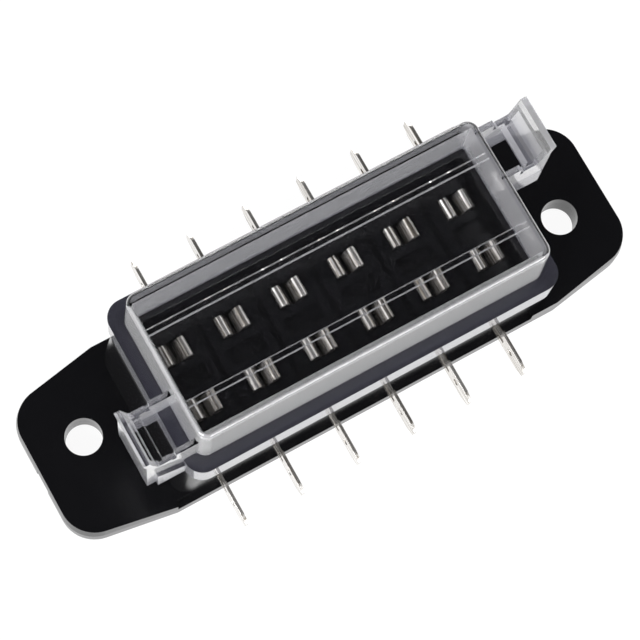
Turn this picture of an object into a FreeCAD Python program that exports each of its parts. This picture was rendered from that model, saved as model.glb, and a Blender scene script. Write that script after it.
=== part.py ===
import FreeCAD, Part
import math
import os

# Blade fuse block for six blade fuses, with a clear cover that lifts off.
# All sizes are in millimetres. The origin is the centre of the underside,
# X runs along the row of fuses, Y across it and Z up. The whole block looks
# the same after half a turn about Z.

# Row of stations: one fuse bridges the two clips of each station
STATIONS = 6
PITCH = 15.0
CLIP_SPACING = 14.2

# Clearances
CELL_GAP = 0.3
ARM_GAP = 0.15
SKIRT_GAP = 0.4

# Heights of the base: a back plate under the housing and its ears
BACK_PLATE_THICKNESS = 4.2
EAR_HEIGHT = 7.4
LEDGE_Z = 25.5

# Well that the fuses stand in
WELL_END_MARGIN = 5.0
WELL_SIDE_MARGIN = 8.2
WELL_HALF_LENGTH = (STATIONS - 1) / 2 * PITCH + WELL_END_MARGIN
WELL_HALF_WIDTH = CLIP_SPACING / 2 + WELL_SIDE_MARGIN
WELL_CORNER_RADIUS = 1.2
WELL_FLOOR_Z = LEDGE_Z + 0.9
GROOVE_WIDTH = 1.5
GROOVE_DEPTH = 1.0
POCKET_LENGTH = 9.0
POCKET_WIDTH = 4.2
POCKET_DEPTH = 1.5

# Rim round the well, which the cover seats on
RIM_END_WIDTH = 3.75
RIM_SIDE_WIDTH = 4.7
RIM_HALF_LENGTH = WELL_HALF_LENGTH + RIM_END_WIDTH
RIM_HALF_WIDTH = WELL_HALF_WIDTH + RIM_SIDE_WIDTH
RIM_HEIGHT = 7.7
RIM_TOP_Z = LEDGE_Z + RIM_HEIGHT

# Raised block below the rim, with end walls that lean in
BLOCK_END_LEDGE = 2.35
BLOCK_SIDE_LEDGE = 0.2
BLOCK_END_DRAFT = 2.4
BLOCK_TOP_X = RIM_HALF_LENGTH + BLOCK_END_LEDGE
BLOCK_FOOT_X = BLOCK_TOP_X + BLOCK_END_DRAFT
BLOCK_HALF_WIDTH = RIM_HALF_WIDTH + BLOCK_SIDE_LEDGE
BLOCK_CORNER_RADIUS = 4.5
BLOCK_EDGE_CHAMFER = 0.5

# Outline of the base: a low lip along each long side and an ear at each end
LIP_WIDTH = 1.6
LIP_HALF_WIDTH = BLOCK_HALF_WIDTH + LIP_WIDTH
EAR_LENGTH = 25.7
EAR_ROOT_GAP = 1.0
EAR_LONG_ROOT = 6.0
EAR_TAPER = 4.0
EAR_DRAFT = 0.4
END_CORNER_RADIUS = 8.5
END_X = BLOCK_FOOT_X + EAR_LENGTH
EAR_ROOT_X = BLOCK_FOOT_X + EAR_ROOT_GAP
EAR_LONG_ROOT_X = BLOCK_FOOT_X - EAR_LONG_ROOT
END_HALF_WIDTH = LIP_HALF_WIDTH - EAR_TAPER
EAR_HOLE_RADIUS = 4.5
EAR_HOLE_TO_END = 13.2
EAR_HOLE_X = END_X - EAR_HOLE_TO_END
EAR_HOLE_Y = 3.5
END_NOTCH_Y = 0.5
END_NOTCH_WIDTH = 5.4
END_NOTCH_DEPTH = 0.4

# Stamped terminal: two rolled leaves, an arm through the wall and a blade
SHEET = 0.8
CLIP_LENGTH = 5.0
CLIP_WALL_X = 3.2
CLIP_PROUD = 1.4
CLIP_TOP_Z = WELL_FLOOR_Z + CLIP_PROUD
CLIP_BASE_Z = 8.4
CLIP_BASE_BEND = 1.0
MOUTH_HALF_GAP = 1.6
NECK_HALF_GAP = 0.3
NECK_DROP = 3.6
LEAF_END_HALF_GAP = 1.2
LEAF_END_DROP = 7.6
TAB_HEIGHT = 6.3
TAB_TOP_Z = 16.4
TAB_REACH = 13.6
TAB_TIP_Y = BLOCK_HALF_WIDTH + TAB_REACH
TAB_CHAMFER_LENGTH = 2.6
TAB_CHAMFER_HEIGHT = 1.5
TAB_SHOULDER_GAP = 2.8
TAB_SHOULDER_DROP = 1.35
TAB_HOLE_RADIUS = 0.9
TAB_HOLE_TO_TIP = 6.0
ARM_SLOT_HEIGHT = 1.6
ARM_SLOT_FINGER = 1.3
ARM_SLOT_LENGTH = 5.5
ARM_SLOT_REACH = 4.6

# Clear cover: a skirt round the rim, a flange on top of it and a box above
SKIRT_WALL = 1.8
SKIRT_CORNER_RADIUS = 4.5
SKIRT_HALF_LENGTH = RIM_HALF_LENGTH + SKIRT_GAP + SKIRT_WALL
SKIRT_HALF_WIDTH = RIM_HALF_WIDTH + SKIRT_GAP + SKIRT_WALL
SKIRT_BOTTOM_Z = LEDGE_Z + SKIRT_GAP
FLANGE_THICKNESS = 1.5
FLANGE_END_WIDTH = 3.25
FLANGE_SIDE_WIDTH = 3.4
FLANGE_TOP_Z = RIM_TOP_Z + FLANGE_THICKNESS
BOX_HALF_LENGTH = SKIRT_HALF_LENGTH - FLANGE_END_WIDTH
BOX_HALF_WIDTH = SKIRT_HALF_WIDTH - FLANGE_SIDE_WIDTH
BOX_HEIGHT = 16.2
BOX_TOP_Z = FLANGE_TOP_Z + BOX_HEIGHT
BOX_DRAFT = 0.45
BOX_CORNER_RADIUS = 2.8
BOX_END_WALL = 1.3
BOX_SIDE_WALL = 2.0
BOX_INNER_RADIUS = 0.4
BOX_TOP_ROUND = 1.0
ROOF_THICKNESS = 1.8
ROOF_RIB_Y = 9.1
ROOF_RIB_WIDTH = 1.4
ROOF_RIB_DEPTH = 2.0

# Finger grips of the cover, one on each end, diagonally placed
GRIP_Y = 10.2
GRIP_WIDTH = 13.6
GRIP_REACH = 9.15
GRIP_FLARE = 0.8
GRIP_PLATE = 1.5
GRIP_OUTER_X = SKIRT_HALF_LENGTH + GRIP_REACH
GRIP_LIP_X = GRIP_OUTER_X + GRIP_FLARE
GRIP_LIP_Z = BOX_TOP_Z - 1.1
GRIP_LIP_LENGTH = 3.3
WEB_THICKNESS = 1.4
WEB_BOTTOM_Z = SKIRT_BOTTOM_Z + 0.5
LUG_LENGTH = 6.9
LUG_THICKNESS = 1.0
LUG_INNER_HEIGHT = 5.5
LUG_OUTER_HEIGHT = 9.7
WEB_INNER_DROP = 6.5
WEB_OUTER_DROP = 8.8
WEB_INNER_TOP_Z = BOX_TOP_Z - WEB_INNER_DROP
WEB_OUTER_TOP_Z = BOX_TOP_Z - WEB_OUTER_DROP
WEB_NOTCH_GAP = 1.75
WEB_NOTCH_WIDTH = 1.0
WEB_NOTCH_DEPTH = 3.6
BAR_GAP = 4.55
BAR_THICKNESS = 1.9
BAR_HEIGHT = 4.7
TROUGH_ROUND = 1.2

# Depth by which joined volumes run into each other
OVERLAP = 0.5

UP = FreeCAD.Vector(0, 0, 1)
CENTRE = FreeCAD.Vector(0, 0, 0)


def box(x_range, y_range, z_range):
    """A block between two values along each axis."""
    size = [high - low for low, high in (x_range, y_range, z_range)]
    return Part.makeBox(*size, FreeCAD.Vector(x_range[0], y_range[0], z_range[0]))


def turned(shape):
    """The shape after half a turn about Z."""
    copy = shape.copy()
    copy.rotate(CENTRE, UP, 180)
    return copy


def with_turned(shape):
    """The shape and its copy half a turn round."""
    return [shape, turned(shape)]


def rounded_edges(points, radii):
    """A closed outline through the points, with a tangent arc of the given radius at each corner."""
    count = len(points)
    corners = []
    for index, (point, radius) in enumerate(zip(points, radii)):
        if radius <= 0:
            corners.append((point, None, point))
            continue
        before = (points[index - 1] - point).normalize()
        after = (points[(index + 1) % count] - point).normalize()
        half = before.getAngle(after) / 2
        reach = radius / math.tan(half)
        middle = (before + after).normalize()
        apex = point + middle * (radius / math.sin(half) - radius)
        corners.append((point + before * reach, apex, point + after * reach))
    edges = []
    for index, (start, apex, end) in enumerate(corners):
        if apex is not None:
            edges.append(Part.Arc(start, apex, end).toShape())
        following = corners[(index + 1) % count][0]
        if end.distanceToPoint(following) > 1e-6:
            edges.append(Part.LineSegment(end, following).toShape())
    return edges


def prism(points, radii, direction):
    """A closed outline with rounded corners, extruded along a vector."""
    wire = Part.Wire(rounded_edges(points, radii))
    return Part.Face(wire).extrude(direction)


def rectangle_wire(half_x, half_y, z, radius):
    """A rectangle about the Z axis with rounded corners."""
    signs = [(1, 1), (-1, 1), (-1, -1), (1, -1)]
    points = [FreeCAD.Vector(half_x * sx, half_y * sy, z) for sx, sy in signs]
    return Part.Wire(rounded_edges(points, [radius] * len(points)))


def rounded_block(half_x, half_y, radius, low, high, top_half_x=None, top_half_y=None):
    """A block about the Z axis, with walls that may lean in towards the top."""
    foot = rectangle_wire(half_x, half_y, low, radius)
    top = rectangle_wire(top_half_x or half_x, top_half_y or half_y, high, radius)
    return Part.makeLoft([foot, top], True, True)


def edges_at_height(shape, height):
    """The edges that lie wholly at one height."""
    return [edge for edge in shape.Edges
            if abs(edge.BoundBox.ZMin - height) < 1e-4 and abs(edge.BoundBox.ZMax - height) < 1e-4]


def station_x(index):
    """Place of a station along the row."""
    return (index - (STATIONS - 1) / 2) * PITCH


# Base outline

def base_wire(z, inset=0.0):
    """The base outline at a height, with its ends drawn in by an inset."""
    end_x = END_X - inset
    end_y = END_HALF_WIDTH - inset
    half = [
        (EAR_ROOT_X, -LIP_HALF_WIDTH, 0),
        (end_x, -end_y, END_CORNER_RADIUS),
        (end_x, end_y, END_CORNER_RADIUS),
        (EAR_ROOT_X, LIP_HALF_WIDTH, 0),
    ]
    outline = half + [(-x, -y, radius) for x, y, radius in half]
    points = [FreeCAD.Vector(x, y, z) for x, y, radius in outline]
    return Part.Wire(rounded_edges(points, [radius for x, y, radius in outline]))


def ear_holes(low, high):
    """The two mounting holes, to be cut between two heights."""
    hole = Part.makeCylinder(EAR_HOLE_RADIUS, high - low,
                             FreeCAD.Vector(EAR_HOLE_X, -EAR_HOLE_Y, low))
    return with_turned(hole)


def lip_side(low, high):
    """The strip of the base outline along the front long side, from ear to ear."""
    return box((-EAR_ROOT_X, EAR_LONG_ROOT_X), (-LIP_HALF_WIDTH, -BLOCK_HALF_WIDTH), (low, high))


def block_foot(low, high):
    """The part of the raised block that stands between the ears, with upright walls."""
    return rounded_block(BLOCK_FOOT_X, BLOCK_HALF_WIDTH, BLOCK_CORNER_RADIUS, low, high)


def ears():
    """The upper halves of the two ears, left one first, with ends that lean in."""
    span = (BACK_PLATE_THICKNESS, EAR_HEIGHT)
    slab = Part.makeLoft([base_wire(span[0]), base_wire(span[1], EAR_DRAFT)], True, True)
    middle = [block_foot(*span)] + with_turned(lip_side(*span)) + ear_holes(*span)
    return sorted(slab.cut(middle).Solids, key=lambda solid: solid.CenterOfMass.x)


# Terminal

def offset_corners(points, distance):
    """A polyline moved sideways in the XZ plane, with mitred corners."""
    moved = []
    for index, point in enumerate(points):
        sides = []
        if index > 0:
            sides.append((point - points[index - 1]).normalize())
        if index < len(points) - 1:
            sides.append((points[index + 1] - point).normalize())
        normals = [FreeCAD.Vector(-side.z, 0, side.x) for side in sides]
        mean = sum(normals[1:], normals[0]).normalize()
        moved.append(point + mean * (distance / mean.dot(normals[0])))
    return moved


def bent_strip(points, radii, thickness, width):
    """A strip of sheet bent along a line in the XZ plane, centred on Y = 0."""
    sides = []
    for side in (1, -1):
        moved = offset_corners(points, side * thickness / 2)
        side_radii = [0]
        for index in range(1, len(points) - 1):
            before = points[index] - points[index - 1]
            after = points[index + 1] - points[index]
            turn = math.copysign(1, before.cross(after).y)
            bend = turn * side * thickness / 2
            side_radii.append(radii[index] + bend if radii[index] else 0)
        side_radii.append(0)
        sides.append((moved, side_radii))
    left, left_radii = sides[0]
    right, right_radii = sides[1]
    outline = left + right[::-1]
    outline_radii = left_radii + right_radii[::-1]
    shift = FreeCAD.Vector(0, -width / 2, 0)
    shifted = [point + shift for point in outline]
    return prism(shifted, outline_radii, FreeCAD.Vector(0, width, 0))


def clip():
    """The lyre clip: walls up from a base, leaves rolled in and down to a narrow neck."""
    mouth_x = MOUTH_HALF_GAP + SHEET / 2
    roll = (CLIP_WALL_X - mouth_x) / 2
    top = CLIP_TOP_Z - SHEET / 2
    base = CLIP_BASE_Z + SHEET / 2
    half = [
        (LEAF_END_HALF_GAP + SHEET / 2, CLIP_TOP_Z - LEAF_END_DROP, 0),
        (NECK_HALF_GAP + SHEET / 2, CLIP_TOP_Z - NECK_DROP, 0),
        (mouth_x, top, roll),
        (CLIP_WALL_X, top, roll),
        (CLIP_WALL_X, base + CLIP_BASE_BEND, 0),
        (CLIP_WALL_X - CLIP_BASE_BEND, base, 0),
    ]
    whole = half + [(-x, z, radius) for x, z, radius in half[::-1]]
    points = [FreeCAD.Vector(x, 0, z) for x, z, radius in whole]
    return bent_strip(points, [radius for x, z, radius in whole], SHEET, CLIP_LENGTH)


def blade():
    """The arm and the blade, in line with one wall of the clip."""
    row_y = CLIP_SPACING / 2
    bottom = TAB_TOP_Z - TAB_HEIGHT
    arm_top = TAB_TOP_Z - TAB_SHOULDER_DROP
    shoulder = BLOCK_HALF_WIDTH + TAB_SHOULDER_GAP - row_y
    tip = TAB_TIP_Y - row_y
    chamfer = tip - TAB_CHAMFER_LENGTH
    side = CLIP_WALL_X - SHEET / 2
    outline = [
        (0, bottom),
        (chamfer, bottom),
        (tip, bottom + TAB_CHAMFER_HEIGHT),
        (tip, TAB_TOP_Z - TAB_CHAMFER_HEIGHT),
        (chamfer, TAB_TOP_Z),
        (shoulder, TAB_TOP_Z),
        (shoulder, arm_top),
        (0, arm_top),
    ]
    points = [FreeCAD.Vector(side, y, z) for y, z in outline]
    plate = prism(points, [0] * len(points), FreeCAD.Vector(SHEET, 0, 0))
    slot_top = arm_top - ARM_SLOT_FINGER
    slot_end = BLOCK_HALF_WIDTH + ARM_SLOT_REACH - row_y
    slot_corners = [
        (slot_end - ARM_SLOT_LENGTH, slot_top - ARM_SLOT_HEIGHT),
        (slot_end, slot_top - ARM_SLOT_HEIGHT),
        (slot_end, slot_top),
        (slot_end - ARM_SLOT_LENGTH, slot_top),
    ]
    slot_points = [FreeCAD.Vector(side, y, z) for y, z in slot_corners]
    slot = prism(slot_points, [0] * len(slot_points), FreeCAD.Vector(SHEET, 0, 0))
    hole = Part.makeCylinder(TAB_HOLE_RADIUS, SHEET,
                             FreeCAD.Vector(side, tip - TAB_HOLE_TO_TIP, TAB_TOP_Z - TAB_HEIGHT / 2),
                             FreeCAD.Vector(1, 0, 0))
    return plate.cut([slot, hole])


def terminal(index):
    """A terminal of the rear row, at its station."""
    shape = clip().fuse(blade()).removeSplitter()
    shape.translate(FreeCAD.Vector(station_x(index), CLIP_SPACING / 2, 0))
    return shape


def clip_room(index, low, high):
    """The cell round a rear clip."""
    centre = station_x(index)
    row_y = CLIP_SPACING / 2
    half_x = CLIP_WALL_X + SHEET / 2 + CELL_GAP
    half_y = CLIP_LENGTH / 2 + CELL_GAP
    return box((centre - half_x, centre + half_x), (row_y - half_y, row_y + half_y), (low, high))


def arm_room(index, low, high, gap):
    """A slot in the plane of a rear terminal's arm, from its clip out through the wall."""
    centre = station_x(index) + CLIP_WALL_X
    half = SHEET / 2 + gap
    return box((centre - half, centre + half), (CLIP_SPACING / 2, BLOCK_HALF_WIDTH), (low, high))


# Back plate

def terminal_seat(index):
    """The pad under a rear clip and the fin that fills the slot under its arm."""
    centre = station_x(index)
    row_y = CLIP_SPACING / 2
    half_x = CLIP_WALL_X + SHEET / 2
    half_y = CLIP_LENGTH / 2
    low = BACK_PLATE_THICKNESS - OVERLAP
    pad = box((centre - half_x, centre + half_x), (row_y - half_y, row_y + half_y),
              (low, CLIP_BASE_Z))
    arm_bottom = TAB_TOP_Z - TAB_HEIGHT
    fin_x = centre + CLIP_WALL_X
    fin = box((fin_x - SHEET / 2, fin_x + SHEET / 2), (row_y + half_y + ARM_GAP, BLOCK_HALF_WIDTH),
              (low, arm_bottom))
    return [pad, fin]


def back_plate():
    """The plate that closes the housing from below and carries the terminals."""
    notch = box((END_X - END_NOTCH_DEPTH, END_X),
                (END_NOTCH_Y - END_NOTCH_WIDTH / 2, END_NOTCH_Y + END_NOTCH_WIDTH / 2),
                (0, BACK_PLATE_THICKNESS))
    outline = Part.Face(base_wire(0)).extrude(UP * BACK_PLATE_THICKNESS)
    plate = outline.cut(with_turned(notch) + ear_holes(0, BACK_PLATE_THICKNESS))
    seats = []
    for index in range(STATIONS):
        for solid in terminal_seat(index):
            seats += with_turned(solid)
    return plate.fuse(seats).removeSplitter()


# Housing

def rim_block(low, high):
    """The outline of the rim that the cover seats on, filled, between two heights."""
    radius = SKIRT_CORNER_RADIUS - SKIRT_WALL - SKIRT_GAP
    return rounded_block(RIM_HALF_LENGTH, RIM_HALF_WIDTH, radius, low, high)


def housing_body():
    """The housing before its cavities: upright foot, block with leaning end walls, and floor."""
    foot = block_foot(BACK_PLATE_THICKNESS, EAR_HEIGHT)
    block = rounded_block(BLOCK_FOOT_X, BLOCK_HALF_WIDTH, BLOCK_CORNER_RADIUS,
                          EAR_HEIGHT, LEDGE_Z, BLOCK_TOP_X)
    block = block.makeChamfer(BLOCK_EDGE_CHAMFER, edges_at_height(block, LEDGE_Z))
    return foot.fuse([block, rim_block(LEDGE_Z - OVERLAP, WELL_FLOOR_Z)]).removeSplitter()


def well_rim():
    """The rim round the well that the fuses stand in."""
    well = rounded_block(WELL_HALF_LENGTH, WELL_HALF_WIDTH, WELL_CORNER_RADIUS,
                         WELL_FLOOR_Z, RIM_TOP_Z)
    return rim_block(WELL_FLOOR_Z, RIM_TOP_Z).cut(well)


def floor_grooves():
    """Grooves across the well floor, midway between stations."""
    grooves = []
    for index in range(STATIONS - 1):
        middle = station_x(index) + PITCH / 2
        grooves.append(box((middle - GROOVE_WIDTH / 2, middle + GROOVE_WIDTH / 2),
                           (-WELL_HALF_WIDTH, WELL_HALF_WIDTH),
                           (WELL_FLOOR_Z - GROOVE_DEPTH, WELL_FLOOR_Z)))
    return grooves


def floor_pocket(index):
    """The shallow pocket between the two clips of a station."""
    centre = station_x(index)
    return box((centre - POCKET_LENGTH / 2, centre + POCKET_LENGTH / 2),
               (-POCKET_WIDTH / 2, POCKET_WIDTH / 2),
               (WELL_FLOOR_Z - POCKET_DEPTH, WELL_FLOOR_Z))


def housing_cavities():
    """Everything that is open in the housing: grooves, clip cells and the slots of the blades."""
    arm_top = TAB_TOP_Z - TAB_SHOULDER_DROP + ARM_GAP
    cavities = floor_grooves()
    for index in range(STATIONS):
        cavities.append(floor_pocket(index))
        cavities += with_turned(clip_room(index, BACK_PLATE_THICKNESS, WELL_FLOOR_Z))
        cavities += with_turned(arm_room(index, BACK_PLATE_THICKNESS, arm_top, ARM_GAP))
    return cavities


def housing():
    """The black housing moulding."""
    return housing_body().cut(housing_cavities()).removeSplitter()


# Cover

def cover_outside():
    """The stepped outside of the cover, without its grips."""
    skirt = rounded_block(SKIRT_HALF_LENGTH, SKIRT_HALF_WIDTH, SKIRT_CORNER_RADIUS,
                          SKIRT_BOTTOM_Z, FLANGE_TOP_Z)
    top = rounded_block(BOX_HALF_LENGTH, BOX_HALF_WIDTH, BOX_CORNER_RADIUS,
                        FLANGE_TOP_Z, BOX_TOP_Z,
                        BOX_HALF_LENGTH - BOX_DRAFT, BOX_HALF_WIDTH - BOX_DRAFT)
    top = top.makeFillet(BOX_TOP_ROUND, edges_at_height(top, BOX_TOP_Z))
    return skirt.fuse(top)


def cover_inside():
    """The hollow of the cover: the room for the rim and the room for the fuses."""
    rim_room = rounded_block(RIM_HALF_LENGTH + SKIRT_GAP, RIM_HALF_WIDTH + SKIRT_GAP,
                             SKIRT_CORNER_RADIUS - SKIRT_WALL, SKIRT_BOTTOM_Z, RIM_TOP_Z)
    inner_x = BOX_HALF_LENGTH - BOX_END_WALL
    inner_y = BOX_HALF_WIDTH - BOX_SIDE_WALL
    fuse_room = rounded_block(inner_x, inner_y, BOX_INNER_RADIUS,
                              RIM_TOP_Z, BOX_TOP_Z - ROOF_THICKNESS,
                              inner_x - BOX_DRAFT, inner_y - BOX_DRAFT)
    return [rim_room, fuse_room]


def roof_ribs():
    """Two ribs under the roof, from end wall to end wall."""
    half_x = BOX_HALF_LENGTH - BOX_END_WALL - BOX_DRAFT
    roof = BOX_TOP_Z - ROOF_THICKNESS
    rib = box((-half_x, half_x),
              (ROOF_RIB_Y - ROOF_RIB_WIDTH / 2, ROOF_RIB_Y + ROOF_RIB_WIDTH / 2),
              (roof - ROOF_RIB_DEPTH, roof + OVERLAP))
    return with_turned(rib)


def grip_web(low_y):
    """One side web of a grip, from the cover's end wall out to the finger plate."""
    wall_x = BOX_HALF_LENGTH - BOX_DRAFT - OVERLAP
    skirt_x = SKIRT_HALF_LENGTH - OVERLAP
    flange_z = FLANGE_TOP_Z - OVERLAP
    notch_start = SKIRT_HALF_LENGTH + WEB_NOTCH_GAP
    notch_end = notch_start + WEB_NOTCH_WIDTH
    notch_z = WEB_INNER_TOP_Z - WEB_NOTCH_DEPTH
    bar_x = SKIRT_HALF_LENGTH + BAR_GAP + BAR_THICKNESS
    bend_z = GRIP_LIP_Z - GRIP_LIP_LENGTH
    outline = [
        (wall_x, flange_z, 0),
        (wall_x, WEB_INNER_TOP_Z, 0),
        (notch_start, WEB_INNER_TOP_Z, 0),
        (notch_start, notch_z, 0),
        (notch_end, notch_z, 0),
        (notch_end, WEB_OUTER_TOP_Z, 0),
        (bar_x, WEB_OUTER_TOP_Z, TROUGH_ROUND),
        (GRIP_OUTER_X - GRIP_PLATE, bend_z, 0),
        (GRIP_OUTER_X - OVERLAP, bend_z, 0),
        (GRIP_OUTER_X - OVERLAP, WEB_BOTTOM_Z, 0),
        (skirt_x, WEB_BOTTOM_Z, 0),
        (skirt_x, flange_z, 0),
    ]
    points = [FreeCAD.Vector(x, low_y, z) for x, z, radius in outline]
    radii = [radius for x, z, radius in outline]
    return prism(points, radii, FreeCAD.Vector(0, WEB_THICKNESS, 0))


def grip_lug(side_y):
    """The thicker foot of a grip's outer web, where it meets the corner of the skirt."""
    start = SKIRT_HALF_LENGTH - OVERLAP
    end = SKIRT_HALF_LENGTH + LUG_LENGTH
    outline = [
        (start, WEB_BOTTOM_Z),
        (end, WEB_BOTTOM_Z),
        (end, WEB_BOTTOM_Z + LUG_OUTER_HEIGHT),
        (start, WEB_BOTTOM_Z + LUG_INNER_HEIGHT),
    ]
    points = [FreeCAD.Vector(x, side_y - OVERLAP, z) for x, z in outline]
    return prism(points, [0] * len(points), FreeCAD.Vector(0, OVERLAP + LUG_THICKNESS, 0))


def grip():
    """The finger grip on the right-hand end: plate with a flared lip, two webs and a bar."""
    low_y = GRIP_Y - GRIP_WIDTH / 2
    high_y = GRIP_Y + GRIP_WIDTH / 2
    bend_z = GRIP_LIP_Z - GRIP_LIP_LENGTH
    outline = [
        (GRIP_OUTER_X - GRIP_PLATE, WEB_BOTTOM_Z, 0),
        (GRIP_OUTER_X, WEB_BOTTOM_Z, 0),
        (GRIP_OUTER_X, bend_z, TROUGH_ROUND),
        (GRIP_LIP_X, GRIP_LIP_Z, 0),
        (GRIP_LIP_X - GRIP_PLATE, GRIP_LIP_Z, 0),
        (GRIP_OUTER_X - GRIP_PLATE, bend_z, TROUGH_ROUND),
    ]
    points = [FreeCAD.Vector(x, low_y, z) for x, z, radius in outline]
    plate = prism(points, [radius for x, z, radius in outline], FreeCAD.Vector(0, GRIP_WIDTH, 0))
    bar_x = SKIRT_HALF_LENGTH + BAR_GAP
    bar = box((bar_x, bar_x + BAR_THICKNESS), (low_y, high_y),
              (WEB_OUTER_TOP_Z - BAR_HEIGHT, WEB_OUTER_TOP_Z))
    webs = [grip_web(low_y), grip_web(high_y - WEB_THICKNESS)]
    return plate.fuse([bar, grip_lug(high_y)] + webs)


def cover():
    """The clear cover moulding."""
    shell = cover_outside().cut(cover_inside())
    return shell.fuse(roof_ribs() + with_turned(grip())).removeSplitter()


# Files

def write(name, shape):
    """Store one sub-part under its name."""
    solids = shape.Solids
    assert len(solids) == 1 and shape.isValid(), name
    solids[0].exportStep("parts/" + name + ".step")
    print(name, round(solids[0].Volume, 1), "mm3")


def main():
    """Make and store every sub-part."""
    os.makedirs("parts", exist_ok=True)
    write("housing", housing())
    write("well_rim", well_rim())
    for name, ear in zip(("ear_left", "ear_right"), ears()):
        write(name, ear)
    write("back_plate", back_plate())
    write("cover", cover())
    for index in range(STATIONS):
        rear = terminal(index)
        write("terminal_rear_" + str(index + 1), rear)
        write("terminal_front_" + str(STATIONS - index), turned(rear))


main()
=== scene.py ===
"""Looks of a six way blade fuse block: black nylon base, clear cover and tin plated terminals."""

import logging
import math
from dataclasses import dataclass, field
from enum import Enum
from typing import NamedTuple

import bmesh
import bpy
from mathutils import Matrix, Vector


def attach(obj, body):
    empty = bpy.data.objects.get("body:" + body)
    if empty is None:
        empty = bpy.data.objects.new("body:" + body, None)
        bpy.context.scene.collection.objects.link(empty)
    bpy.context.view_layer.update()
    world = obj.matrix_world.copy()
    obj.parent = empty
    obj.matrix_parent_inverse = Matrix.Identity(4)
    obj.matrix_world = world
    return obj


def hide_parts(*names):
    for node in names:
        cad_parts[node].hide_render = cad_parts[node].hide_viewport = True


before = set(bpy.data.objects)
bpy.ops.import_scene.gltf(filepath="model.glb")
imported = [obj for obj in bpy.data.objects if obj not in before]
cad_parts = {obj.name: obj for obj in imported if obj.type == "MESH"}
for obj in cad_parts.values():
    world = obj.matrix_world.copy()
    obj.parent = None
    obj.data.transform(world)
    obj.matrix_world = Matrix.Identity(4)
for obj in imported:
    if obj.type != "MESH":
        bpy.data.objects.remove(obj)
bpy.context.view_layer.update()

MM = 0.001

Colour = tuple[float, float, float, float]
WHITE: Colour = (1.0, 1.0, 1.0, 1.0)

log = logging.getLogger("fuse_block")


class Body(Enum):
    """The two rigid bodies that pieces ride on."""

    BASE = "base"
    LID = "lid"


class Slot(Enum):
    """The record's material slots."""

    MOULDING = "black_moulding"
    PLATE = "black_plate"
    COVER = "clear_cover"
    TERMINAL = "plated_terminal"


def linear(code: str) -> Colour:
    """Turn an sRGB hex colour into linear light.

    Args:
        code: A colour such as "#1a1a1c".

    Returns:
        Red, green, blue and an alpha of 1.
    """
    values = []
    for start in (1, 3, 5):
        share = int(code[start:start + 2], 16) / 255
        values.append(share / 12.92 if share <= 0.04045 else ((share + 0.055) / 1.055) ** 2.4)
    return (*values, 1.0)


def grey(level: float) -> Colour:
    """Give a plain amount as a grey, for a ramp that hands on amounts."""
    return (level, level, level, 1.0)


def per_metre(size_mm: float) -> float:
    """Give the scale of a pattern whose features repeat every size_mm millimetres."""
    return 1 / (size_mm * MM)


def add_node(tree: bpy.types.NodeTree, kind: str, inputs: dict[str | int, object] | None = None,
             stops: list[tuple[float, Colour]] | None = None, **settings: object) -> bpy.types.Node:
    """Add one node with its settings, values, links and colour stops.

    Args:
        tree: The node tree to add to.
        kind: The node's type name.
        inputs: Values or output sockets, by input name or number.
        stops: Places from 0 to 1, each with its colour, for a node that has a colour ramp.
            The first two are the ramp's own, in rising order.
        **settings: Attributes of the node, such as its operation.

    Returns:
        The new node.
    """
    node = tree.nodes.new(kind)
    for name, value in settings.items():
        setattr(node, name, value)
    for key, value in (inputs or {}).items():
        if isinstance(value, bpy.types.NodeSocket):
            tree.links.new(value, node.inputs[key])
        else:
            node.inputs[key].default_value = value
    for index, (place, colour) in enumerate(stops or []):
        elements = node.color_ramp.elements
        stop = elements[index] if index < 2 else elements.new(place)
        stop.position, stop.color = place, colour
    return node


def new_material(name: str) -> bpy.types.Material:
    """Make an empty material with nodes.

    Args:
        name: The material's name.

    Returns:
        The material, without any node in it.
    """
    material = bpy.data.materials.new(name)
    material.use_nodes = True
    material.node_tree.nodes.clear()
    return material


def place_in_scene(name: str, data: bpy.types.ID) -> bpy.types.Object:
    """Put a mesh, a lamp or a camera in the scene, at the origin.

    Args:
        name: The object's name.
        data: What the object shows.

    Returns:
        The new object.
    """
    thing = bpy.data.objects.new(name, data)
    bpy.context.scene.collection.objects.link(thing)
    return thing


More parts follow.
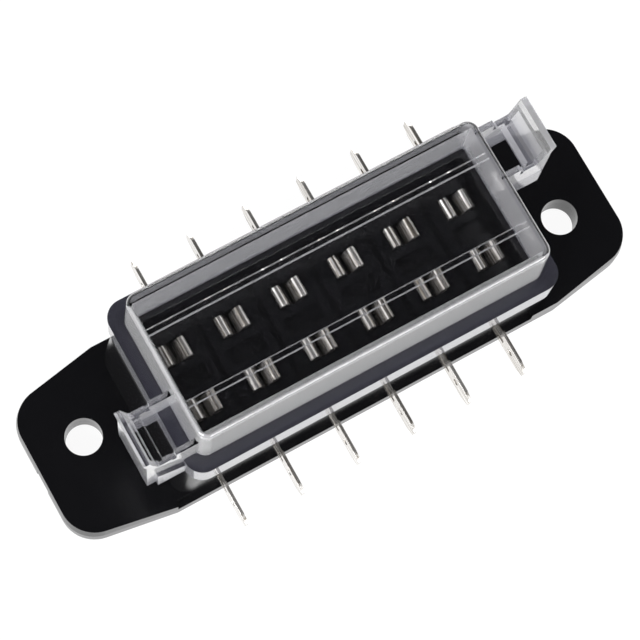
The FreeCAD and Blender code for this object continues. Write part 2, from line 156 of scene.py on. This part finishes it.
@dataclass(frozen=True)
class MouldedNylon:
    """Glass filled nylon, injection moulded in black against a lightly eroded tool.

    The eye sees a deep black with a soft satin sheen, a fine grain in the highlights and slow
    waves where thick walls have sunk a little. The grain is drawn coarser than the real one, so
    that it shows.
    """

    name: str
    colour: str
    sheen_colour: str
    roughness: float
    ior: float = 1.5
    satin: tuple[float, float] = (-0.02, 0.04)
    relief: float = 0.04
    grain_mm: float = 0.35
    grain_depth_mm: float = 0.05
    flow_mm: float = 9.0
    flow_depth_mm: float = 0.3

    def material(self) -> bpy.types.Material:
        """Build the material.

        Returns:
            The finished material.
        """
        material = new_material(self.name)
        tree = material.node_tree
        place = add_node(tree, "ShaderNodeTexCoord").outputs["Object"]
        grain = add_node(tree, "ShaderNodeTexNoise", {
            "Vector": place, "Scale": per_metre(self.grain_mm), "Detail": 3.0})
        flow = add_node(tree, "ShaderNodeTexNoise", {
            "Vector": place, "Scale": per_metre(self.flow_mm), "Detail": 2.0})
        tone = add_node(tree, "ShaderNodeMix", {
            0: flow.outputs["Fac"], 6: linear(self.colour), 7: linear(self.sheen_colour)},
            data_type="RGBA")
        smoother, rougher = self.satin
        satin = add_node(tree, "ShaderNodeMapRange", {
            "Value": grain.outputs["Fac"], "To Min": self.roughness + smoother,
            "To Max": self.roughness + rougher})
        waves = add_node(tree, "ShaderNodeBump", {
            "Height": flow.outputs["Fac"], "Strength": self.relief,
            "Distance": self.flow_depth_mm * MM})
        surface = add_node(tree, "ShaderNodeBump", {
            "Height": grain.outputs["Fac"], "Strength": self.relief,
            "Distance": self.grain_depth_mm * MM, "Normal": waves.outputs["Normal"]})
        shader = add_node(tree, "ShaderNodeBsdfPrincipled", {
            "Base Color": tone.outputs[2], "Roughness": satin.outputs["Result"],
            "IOR": self.ior, "Normal": surface.outputs["Normal"]})
        add_node(tree, "ShaderNodeOutputMaterial", {"Surface": shader.outputs["BSDF"]})
        return material


class Veil(NamedTuple):
    """Painted light and shade laid over clear plastic, as sockets of a material."""

    haze: bpy.types.NodeSocket
    tone: bpy.types.NodeSocket
    roughness: bpy.types.NodeSocket


@dataclass(frozen=True)
class ClearPolycarbonate:
    """Clear polycarbonate, injection moulded in a polished tool.

    The eye sees a clear roof with a painted highlight on its ribs' lower lips, walls that are
    clear face on with painted light at a slant, for light that runs down inside the plastic,
    painted shade in the skirt and a flange with painted dark shade from above, for the black
    rim that it lies on. What shows through is a little uneven, and handling has left fine marks.

    A rise is where a face looks: 0 for straight down, 0.5 for sideways and 1 for straight up.
    """

    name: str = "clear_polycarbonate_moulded"
    colour: str = "#f5f5f5"
    # Painted light: a light grey on slanted walls, standing in for light that runs down inside the
    # plastic
    wall_light_colour: str = "#dadada"
    # Painted shade: a darker grey in the skirt, for the black rim seen through it
    skirt_shade_colour: str = "#9c9ca0"
    # Painted shade: a dark grey on the flange's level faces seen from above, for the black rim
    # under it
    flange_shade_colour: str = "#34343b"
    # Painted highlight: near white on the lower lips of the ribs
    lip_highlight_colour: str = "#fbfbfd"
    shadow_colour: str = "#f3f3f6"
    ior: float = 1.58
    roughness: float = 0.012
    scuff_roughness: float = 0.03
    scuff_band: tuple[float, float] = (0.45, 0.75)
    scuff_mm: float = 1.6
    ripple: float = 0.1
    ripple_mm: float = 7.0
    ripple_depth_mm: float = 0.12
    wall_roughness: float = 0.16
    # How much painted wall light stands in place of clear plastic
    wall_light: float = 0.42
    # A faint painted highlight on the upper eased edges
    edge_highlight: float = 0.08
    # How much painted lip highlight stands in place of clear plastic
    lip_highlight: float = 1.0
    # How much painted flange shade stands in place of clear plastic
    flange_shade: float = 0.6
    # Extra painted haze below the flange top, in the darker skirt shade
    skirt_shade_gain: float = 0.45
    slant: tuple[float, float] = (0.35, 0.7)
    face_on_share: float = 0.15
    flange_top_mm: float = 34.9
    lip_rises: tuple[float, float, float] = (0.06, 0.12, 0.28)
    wall_rises: tuple[float, float, float] = (0.33, 0.42, 0.62)
    edge_rises: tuple[float, float] = (0.8, 0.99)
    level_rises: tuple[float, float, float, float] = (0.1, 0.3, 0.82, 0.93)
    # Rises where the painted tones change: lip highlight, wall light, clear
    tone_rises: tuple[float, float, float, float] = (0.3, 0.42, 0.62, 0.85)

    def material(self) -> bpy.types.Material:
        """Build the material, which lets lamps through to what is under it.

        Returns:
            The finished material.
        """
        material = new_material(self.name)
        tree = material.node_tree
        place = add_node(tree, "ShaderNodeTexCoord").outputs["Object"]
        ripple = add_node(tree, "ShaderNodeTexNoise", {
            "Vector": place, "Scale": per_metre(self.ripple_mm), "Detail": 1.0})
        scuffs = add_node(tree, "ShaderNodeTexNoise", {
            "Vector": place, "Scale": per_metre(self.scuff_mm), "Detail": 5.0})
        scuffs_from, scuffs_to = self.scuff_band
        gloss = add_node(tree, "ShaderNodeMapRange", {
            "Value": scuffs.outputs["Fac"], "From Min": scuffs_from, "From Max": scuffs_to,
            "To Min": self.roughness, "To Max": self.roughness + self.scuff_roughness})
        surface = add_node(tree, "ShaderNodeBump", {
            "Height": ripple.outputs["Fac"], "Strength": self.ripple,
            "Distance": self.ripple_depth_mm * MM})
        veil = self.veil(tree, place)
        clarity = add_node(tree, "ShaderNodeMath", {0: 1.0, 1: veil.haze}, operation="SUBTRACT")
        roughness = add_node(tree, "ShaderNodeMath", {
            0: gloss.outputs["Result"], 1: veil.roughness}, operation="ADD")
        plastic = add_node(tree, "ShaderNodeBsdfPrincipled", {
            "Base Color": veil.tone, "Roughness": roughness.outputs["Value"],
            "IOR": self.ior, "Transmission Weight": clarity.outputs["Value"],
            "Normal": surface.outputs["Normal"]})
        through = add_node(tree, "ShaderNodeBsdfTransparent", {"Color": linear(self.shadow_colour)})
        rays = add_node(tree, "ShaderNodeLightPath")
        shader = add_node(tree, "ShaderNodeMixShader", {
            0: rays.outputs["Is Shadow Ray"], 1: plastic.outputs["BSDF"],
            2: through.outputs["BSDF"]})
        add_node(tree, "ShaderNodeOutputMaterial", {"Surface": shader.outputs["Shader"]})
        return material

    def veil(self, tree: bpy.types.NodeTree, place: bpy.types.NodeSocket) -> Veil:
        """Work out the painted light and shade on the plastic, from where a face is and looks.

        Args:
            tree: The material's nodes.
            place: The place on the cover.

        Returns:
            The painted haze from 0 to 1, its colour and the roughness that it adds.
        """
        way = add_node(tree, "ShaderNodeTexCoord").outputs["Normal"]
        way_up = add_node(tree, "ShaderNodeSeparateXYZ", {0: way}).outputs["Z"]
        rise = add_node(tree, "ShaderNodeMapRange", {
            "Value": way_up, "From Min": -1.0}).outputs["Result"]
        height = add_node(tree, "ShaderNodeSeparateXYZ", {0: place}).outputs["Z"]
        is_low = add_node(tree, "ShaderNodeMath", {
            0: height, 1: self.flange_top_mm * MM}, operation="LESS_THAN").outputs["Value"]

        # How far the eye looks along a face instead of straight at it
        facing = add_node(tree, "ShaderNodeLayerWeight", {"Blend": 0.5}).outputs["Facing"]
        slant_from, slant_to = self.slant
        slanted = add_node(tree, "ShaderNodeMapRange", {
            "Value": facing, "From Min": slant_from, "From Max": slant_to,
            "To Min": self.face_on_share}).outputs["Result"]
        face_on = add_node(tree, "ShaderNodeMapRange", {
            "Value": facing, "From Min": slant_from, "From Max": slant_to,
            "To Min": 1.0, "To Max": 0.0}).outputs["Result"]

        # Painted light in the walls, a painted highlight on the ribs' lips and a faint one on the
        # upper edges, with more of it in the skirt
        clear, wall, lip = grey(0.0), grey(self.wall_light), grey(self.lip_highlight)
        lip_from, lip_full, lip_last = self.lip_rises
        wall_from, wall_full, wall_last = self.wall_rises
        edge, roof = self.edge_rises
        upright = add_node(tree, "ShaderNodeValToRGB", {0: rise}, stops=[
            (wall_from, clear), (roof, clear), (wall_full, wall), (wall_last, wall),
            (edge, grey(self.edge_highlight)), (lip_from, clear), (lip_full, lip),
            (lip_last, lip)]).outputs["Color"]
        # More painted haze below the flange top, where the skirt takes its darker painted shade
        depth = add_node(tree, "ShaderNodeMath", {
            0: is_low, 1: self.skirt_shade_gain, 2: 1.0}, operation="MULTIPLY_ADD").outputs["Value"]
        painted_haze = add_node(tree, "ShaderNodeMath", {
            0: upright, 1: depth}, operation="MULTIPLY").outputs["Value"]
        walls = add_node(tree, "ShaderNodeMath", {
            0: painted_haze, 1: slanted}, operation="MULTIPLY").outputs["Value"]

        # Painted dark shade in the level faces of the flange, for the black rim under it
        down_last, side_from, side_last, up_from = self.level_rises
        is_level = add_node(tree, "ShaderNodeValToRGB", {0: rise}, stops=[
            (down_last, WHITE), (up_from, WHITE), (side_from, clear),
            (side_last, clear)]).outputs["Color"]
        low_level = add_node(tree, "ShaderNodeMath", {
            0: is_low, 1: is_level}, operation="MULTIPLY").outputs["Value"]
        on_flange = add_node(tree, "ShaderNodeMath", {
            0: low_level, 1: face_on}, operation="MULTIPLY").outputs["Value"]
        haze = add_node(tree, "ShaderNodeMath", {
            0: on_flange, 1: self.flange_shade, 2: walls}, operation="MULTIPLY_ADD").outputs["Value"]

        # Painted tones by rise: white lip highlight, light grey wall light, then the clear colour
        lip_end, wall_tone_full, wall_tone_last, clear_from = self.tone_rises
        tone_by_rise = add_node(tree, "ShaderNodeValToRGB", {0: rise}, stops=[
            (wall_tone_last, linear(self.wall_light_colour)), (clear_from, linear(self.colour)),
            (lip_end, linear(self.lip_highlight_colour)),
            (wall_tone_full, linear(self.wall_light_colour))]).outputs["Color"]
        # Painted shade: below the flange top the tone turns to the darker skirt grey
        body = add_node(tree, "ShaderNodeMix", {
            0: is_low, 6: tone_by_rise, 7: linear(self.skirt_shade_colour)}, data_type="RGBA").outputs[2]
        # Painted shade: the dark flange grey where a level flange face is seen from above
        tone = add_node(tree, "ShaderNodeMix", {
            0: on_flange, 6: body, 7: linear(self.flange_shade_colour)}, data_type="RGBA").outputs[2]
        roughness = add_node(tree, "ShaderNodeMath", {
            0: haze, 1: self.wall_roughness}, operation="MULTIPLY").outputs["Value"]
        return Veil(haze, tone, roughness)


@dataclass(frozen=True)
class TinPlatedBrass:
    """Rolled brass strip, stamped, bent and then tin plated bright.

    The eye sees a pale warm silver that mirrors its surroundings crisply, with duller rolling
    lines along the blade and a faint bloom here and there. The lines are drawn wider than the
    real ones, so that they show.
    """

    name: str = "tin_plated_brass_stamped"
    colour: str = "#fbf8f4"
    dull_colour: str = "#9a9286"
    metallic: float = 0.86
    roughness: float = 0.1
    bloom: tuple[float, float] = (-0.03, 0.05)
    bloom_mm: float = 1.1
    line_mm: float = 0.3
    line_length_mm: float = 25.0
    line_band: tuple[float, float] = (0.36, 0.58)
    line_relief: float = 0.25
    line_depth_mm: float = 0.02

    def material(self) -> bpy.types.Material:
        """Build the material.

        Returns:
            The finished material.
        """
        material = new_material(self.name)
        tree = material.node_tree
        place = add_node(tree, "ShaderNodeTexCoord").outputs["Object"]
        across, along = per_metre(self.line_mm), per_metre(self.line_length_mm)
        drawn_out = add_node(tree, "ShaderNodeMapping", {
            "Vector": place, "Scale": (across, along, across)})
        lines = add_node(tree, "ShaderNodeTexNoise", {
            "Vector": drawn_out.outputs["Vector"], "Scale": 1.0, "Detail": 2.0})
        dull_to, bright_from = self.line_band
        streaks = add_node(tree, "ShaderNodeMapRange", {
            "Value": lines.outputs["Fac"], "From Min": dull_to, "From Max": bright_from})
        bloom = add_node(tree, "ShaderNodeTexNoise", {
            "Vector": place, "Scale": per_metre(self.bloom_mm), "Detail": 4.0})
        tone = add_node(tree, "ShaderNodeMix", {
            0: streaks.outputs["Result"], 6: linear(self.dull_colour), 7: linear(self.colour)},
            data_type="RGBA")
        smoother, rougher = self.bloom
        satin = add_node(tree, "ShaderNodeMapRange", {
            "Value": bloom.outputs["Fac"], "To Min": self.roughness + smoother,
            "To Max": self.roughness + rougher})
        surface = add_node(tree, "ShaderNodeBump", {
            "Height": lines.outputs["Fac"], "Strength": self.line_relief,
            "Distance": self.line_depth_mm * MM})
        shader = add_node(tree, "ShaderNodeBsdfPrincipled", {
            "Base Color": tone.outputs[2], "Metallic": self.metallic,
            "Roughness": satin.outputs["Result"], "Normal": surface.outputs["Normal"]})
        add_node(tree, "ShaderNodeOutputMaterial", {"Surface": shader.outputs["BSDF"]})
        return material


@dataclass
class EasedSolid:
    """A piece whose form comes from its solid, with every sharp edge eased as in the tool."""

    node: str
    body: Body
    slot: Slot
    edge_mm: float
    segments: int = 2
    sharp_deg: float = 32.0
    flat_deg: float = 0.6
    weld_mm: float = 0.0005

    def build(self) -> bpy.types.Object:
        """Copy the solid's surface, join it up and ease its edges.

        Returns:
            The new piece, in place of the solid.
        """
        shape = bmesh.new()
        shape.from_mesh(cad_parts[self.node].data)
        bmesh.ops.remove_doubles(shape, verts=shape.verts, dist=self.weld_mm * MM)
        bmesh.ops.dissolve_limit(
            shape, angle_limit=math.radians(self.flat_deg), verts=shape.verts, edges=shape.edges)
        limit = math.radians(self.sharp_deg)
        sharp = [edge for edge in shape.edges
                 if edge.is_manifold and edge.calc_face_angle(0.0) > limit]
        bmesh.ops.bevel(
            shape, geom=sharp, offset=self.edge_mm * MM, offset_type="OFFSET",
            segments=self.segments, profile=0.5, material=-1, affect="EDGES", clamp_overlap=True)
        for face in shape.faces:
            face.smooth = True
        mesh = bpy.data.meshes.new(self.node + "_finished")
        shape.to_mesh(mesh)
        shape.free()
        piece = place_in_scene(self.node + "_finished", mesh)
        normals = piece.modifiers.new("flat_faces_stay_flat", "WEIGHTED_NORMAL")
        normals.keep_sharp = True
        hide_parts(self.node)
        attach(piece, self.body.value)
        return piece

    def dress(self, piece: bpy.types.Object, material: bpy.types.Material) -> None:
        """Give the piece its finish.

        Args:
            piece: The built piece.
            material: Its finish.
        """
        piece.data.materials.append(material)
        log.info("built %s", self.node)


@dataclass
class Base:
    """The black base: the housing with its rim and ears, closed from below by a back plate."""

    housing_nodes: tuple[str, ...] = ("housing", "well_rim", "ear_left", "ear_right")
    plate_node: str = "back_plate"
    edge_mm: float = 0.18
    housing_finish: MouldedNylon = field(default_factory=lambda: MouldedNylon(
        "black_nylon_housing", "#08080a", "#0c0c0e", 0.2))
    plate_finish: MouldedNylon = field(default_factory=lambda: MouldedNylon(
        "black_nylon_back_plate", "#0b0b0d", "#101012", 0.22))

    def build(self) -> None:
        """Build and dress the mouldings."""
        moulding = self.housing_finish.material()
        plate = self.plate_finish.material()
        pieces = [(node, Slot.MOULDING, moulding) for node in self.housing_nodes]
        pieces.append((self.plate_node, Slot.PLATE, plate))
        for node, slot, material in pieces:
            solid = EasedSolid(node, Body.BASE, slot, self.edge_mm)
            solid.dress(solid.build(), material)


@dataclass
class Terminals:
    """The twelve stamped terminals, six along each long side."""

    rows: tuple[str, str] = ("front", "rear")
    count: int = 6
    edge_mm: float = 0.06
    segments: int = 1
    sharp_deg: float = 50.0
    finish: TinPlatedBrass = field(default_factory=TinPlatedBrass)

    def build(self) -> None:
        """Build and dress every terminal."""
        material = self.finish.material()
        for row in self.rows:
            for number in range(1, self.count + 1):
                solid = EasedSolid(f"terminal_{row}_{number}", Body.BASE, Slot.TERMINAL,
                                   self.edge_mm, self.segments, self.sharp_deg)
                solid.dress(solid.build(), material)


@dataclass
class Cover:
    """The clear lift-off cover with its two finger grips."""

    node: str = "cover"
    edge_mm: float = 0.22
    finish: ClearPolycarbonate = field(default_factory=ClearPolycarbonate)

    def build(self) -> None:
        """Build and dress the cover."""
        solid = EasedSolid(self.node, Body.LID, Slot.COVER, self.edge_mm)
        solid.dress(solid.build(), self.finish.material())


@dataclass(frozen=True)
class Softbox:
    """A square lamp that faces the block."""

    name: str
    place_mm: tuple[float, float, float]
    size_mm: float
    watts: float

    def hang(self) -> None:
        """Hang the lamp at its place, turned to the origin."""
        data = bpy.data.lights.new(self.name, "AREA")
        data.size = self.size_mm * MM
        data.energy = self.watts
        lamp = place_in_scene(self.name, data)
        place = Vector(self.place_mm) * MM
        turn = place.to_track_quat("Z", "Y").to_matrix().to_4x4()
        lamp.matrix_world = Matrix.Translation(place) @ turn


@dataclass
class Studio:
    """A white table under soft light, and the camera at the photograph's angle."""

    camera_mm: tuple[float, float, float] = (-99.9, -99.6, 531.9)
    aim_mm: tuple[float, float, float] = (0.4, 2.9, 1.4)
    roll: float = -0.4954
    lens_mm: float = 127.74
    sensor_mm: float = 36.0
    floor_half_mm: float = 3000.0
    floor_glow: float = 0.94
    paper_colour: str = "#545454"
    lighting_colour: str = "#e6e6e6"
    sky_strength: float = 0.9
    dim_way: tuple[float, float, float] = (0.18, 0.18, 0.967)
    dim_band: tuple[float, float] = (0.72, 0.94)
    dim_light: Colour = (0.02, 0.02, 0.021, 1.0)
    lamps: tuple[Softbox, ...] = (
        Softbox("left_softbox", (-700.0, -250.0, 450.0), 500.0, 6.0),
        Softbox("rear_softbox", (350.0, 800.0, 400.0), 600.0, 6.0),
        Softbox("front_softbox", (150.0, -850.0, 420.0), 600.0, 6.0))

    def table(self) -> None:
        """Lay the table: white to the eye, with the block's own soft shadow on it."""
        sheet = bmesh.new()
        bmesh.ops.create_grid(sheet, x_segments=1, y_segments=1, size=self.floor_half_mm * MM)
        mesh = bpy.data.meshes.new("table")
        sheet.to_mesh(mesh)
        sheet.free()
        table = place_in_scene("table", mesh)
        table.data.materials.append(self.table_paper())

    def table_paper(self) -> bpy.types.Material:
        """Make the table's paper: a white glow where it is seen, plain paper where it lights.

        Returns:
            The finished material.
        """
        material = new_material("white_table_paper")
        tree = material.node_tree
        paper = add_node(tree, "ShaderNodeBsdfDiffuse", {"Color": linear(self.paper_colour)})
        glow = add_node(tree, "ShaderNodeEmission", {"Strength": self.floor_glow})
        seen = add_node(tree, "ShaderNodeAddShader", {0: paper.outputs[0], 1: glow.outputs[0]})
        plain = add_node(tree, "ShaderNodeBsdfDiffuse", {"Color": linear(self.lighting_colour)})
        rays = add_node(tree, "ShaderNodeLightPath").outputs
        direct = add_node(tree, "ShaderNodeMath", {
            0: rays["Is Camera Ray"], 1: rays["Is Glossy Ray"]}, operation="MAXIMUM")
        any_seen = add_node(tree, "ShaderNodeMath", {
            0: direct.outputs[0], 1: rays["Is Transmission Ray"]}, operation="MAXIMUM")
        mixed = add_node(tree, "ShaderNodeMixShader", {
            0: any_seen.outputs[0], 1: plain.outputs[0], 2: seen.outputs[0]})
        add_node(tree, "ShaderNodeOutputMaterial", {"Surface": mixed.outputs[0]})
        return material

    def sky(self) -> None:
        """Surround the table with soft light, with a dim patch that level faces mirror."""
        world = bpy.data.worlds.new("studio")
        bpy.context.scene.world = world
        world.use_nodes = True
        tree = world.node_tree
        tree.nodes.clear()
        way = add_node(tree, "ShaderNodeTexCoord").outputs["Generated"]
        nearness = add_node(tree, "ShaderNodeVectorMath", {
            0: way, 1: self.dim_way}, operation="DOT_PRODUCT")
        dim_from, dim_full = self.dim_band
        shade = add_node(tree, "ShaderNodeValToRGB", {0: nearness.outputs["Value"]}, stops=[
            (dim_from, WHITE), (dim_full, self.dim_light)])
        light = add_node(tree, "ShaderNodeBackground", {
            "Color": shade.outputs["Color"], "Strength": self.sky_strength})
        white = add_node(tree, "ShaderNodeBackground", {"Color": WHITE, "Strength": 1.0})
        rays = add_node(tree, "ShaderNodeLightPath").outputs
        mixed = add_node(tree, "ShaderNodeMixShader", {
            0: rays["Is Camera Ray"], 1: light.outputs[0], 2: white.outputs[0]})
        add_node(tree, "ShaderNodeOutputWorld", {"Surface": mixed.outputs[0]})

    def camera(self) -> None:
        """Set up the camera from its place, its aim and its roll."""
        data = bpy.data.cameras.new("camera")
        data.lens = self.lens_mm
        data.sensor_width = self.sensor_mm
        camera = place_in_scene("camera", data)
        place = Vector(self.camera_mm) * MM
        ahead = (Vector(self.aim_mm) * MM - place).normalized()
        right = Vector((math.cos(self.roll), math.sin(self.roll), 0.0))
        right = (right - ahead * right.dot(ahead)).normalized()
        up = right.cross(ahead)
        turn = Matrix((right, up, -ahead)).transposed()
        camera.matrix_world = Matrix.Translation(place) @ turn.to_4x4()
        bpy.context.scene.camera = camera

    def build(self) -> None:
        """Build the stage."""
        self.table()
        self.sky()
        for lamp in self.lamps:
            lamp.hang()
        self.camera()
        bpy.context.scene.view_settings.view_transform = "Standard"
        log.info("built the stage")


def main() -> None:
    """Build the block and its stage, in order."""
    logging.basicConfig(level=logging.INFO, format="%(message)s")
    Base().build()
    Terminals().build()
    Cover().build()
    Studio().build()


if __name__ == "__main__":
    main()
